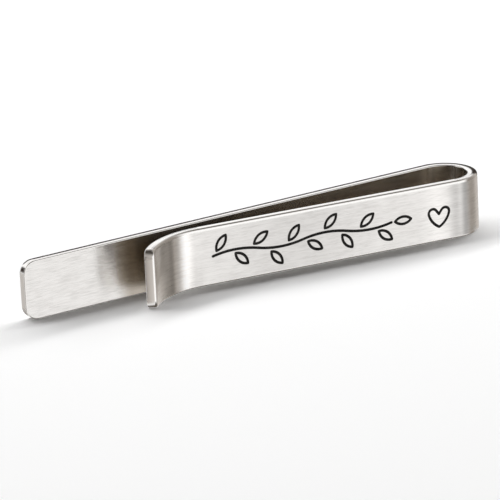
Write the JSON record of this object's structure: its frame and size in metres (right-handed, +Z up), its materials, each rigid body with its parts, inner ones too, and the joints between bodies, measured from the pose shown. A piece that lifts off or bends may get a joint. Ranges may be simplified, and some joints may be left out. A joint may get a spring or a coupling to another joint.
{
  "type": "tie clip",
  "caption": "Slide tie clip of brushed steel strip bent to a hairpin: long flat rear leg, springy bow, shorter engraved front leg and a flared lead-in lip.",
  "frame": {"origin": "middle of the clip's length and depth, on the surface that it stands on by the lower edge of the strip", "axes": "+X along the rear leg towards the bow, +Z up across the width of the strip, the engraved front face looks to -Y"},
  "size_m": [0.06, 0.0084, 0.007],
  "materials": {
    "strip": "brushed along its length, edges polished",
    "engraving": "matt black fill"
  },
  "bodies": {
    "rear": {"rear_leg": "strip", "spring_bow": "strip"},
    "front": {"front_leg": "strip", "flared_lip": "strip", "heart_fill": "engraving", "stem_fill": "engraving", "leaf_fills": "engraving"}
  },
  "joints": [
    {"name": "front_flex", "type": "hinge", "parent": "rear", "child": "front", "pos_m": [0.0258, 0, 0.0035], "axis": [0, 0, 1], "range_deg": [-1.5, 5], "stiffness_Nm_per_rad": 6.2, "deforming": ["spring_bow"]}
  ]
}
